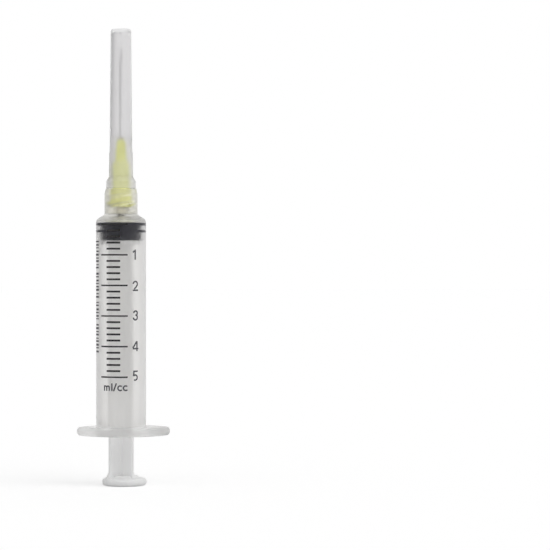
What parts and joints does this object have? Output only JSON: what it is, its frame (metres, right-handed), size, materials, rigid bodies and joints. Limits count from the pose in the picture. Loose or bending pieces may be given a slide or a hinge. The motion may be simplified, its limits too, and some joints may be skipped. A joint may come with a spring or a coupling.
{
  "type": "luer lock syringe",
  "caption": "Syringe with printed scale, finger flange, cross-shaped plunger, rubber stopper and a capped needle screwed into its threaded lock collar, standing on its thumb disc.",
  "frame": {"origin": "on the barrel's axis, at the flat underside of the thumb disc that the syringe stands on", "axes": "+Z along the barrel towards the needle's tip, -Y out of the printed scale, X along the finger flange's wings"},
  "size_m": [0.0259, 0.0172, 0.1272],
  "materials": {
    "milky_plastic": "moulded milky polypropylene, see-through in thin walls",
    "cap_plastic": "thin moulded clear-to-milky polypropylene",
    "print_ink": "dark printed ink film",
    "black_rubber": "moulded black rubber wetted with a trace of lubricant",
    "yellow_plastic": "moulded translucent yellow polypropylene",
    "needle_steel": "drawn and polished stainless steel tube",
    "clear_glue": "cured clear epoxy"
  },
  "bodies": {
    "plunger": {"plunger_rod": "milky_plastic"},
    "stopper": {"plunger_stopper": "black_rubber"},
    "barrel": {"barrel": "milky_plastic", "scale_print": "print_ink"},
    "bond": {"needle_bond": "clear_glue"},
    "needle": {"needle_hub": "yellow_plastic", "needle_cannula": "needle_steel"},
    "cap": {"needle_cap": "cap_plastic"}
  },
  "joints": [
    {"name": "plunger_turn", "type": "hinge", "parent": "plunger", "child": "stopper", "pos_m": [0, 0, 0.07], "axis": [0, 0, 1], "continuous": true},
    {"name": "plunger_slide", "type": "slide", "parent": "stopper", "child": "barrel", "axis": [0, 0, 1], "range_m": [0, 0.0495]},
    {"name": "needle_lift", "type": "slide", "parent": "barrel", "child": "bond", "axis": [0, 0, 1], "range_m": [0, 0.005]},
    {"name": "needle_turn", "type": "hinge", "parent": "bond", "child": "needle", "pos_m": [0, 0, 0.08], "axis": [0, 0, 1], "range_deg": [0, 360]},
    {"name": "cap_pull", "type": "slide", "parent": "needle", "child": "cap", "axis": [0, 0, 1], "range_m": [0, 0.045]}
  ],
  "couplings": [
    {"joint": "needle_turn", "follows": "needle_lift", "rad_per_m": 1256.6}
  ]
}
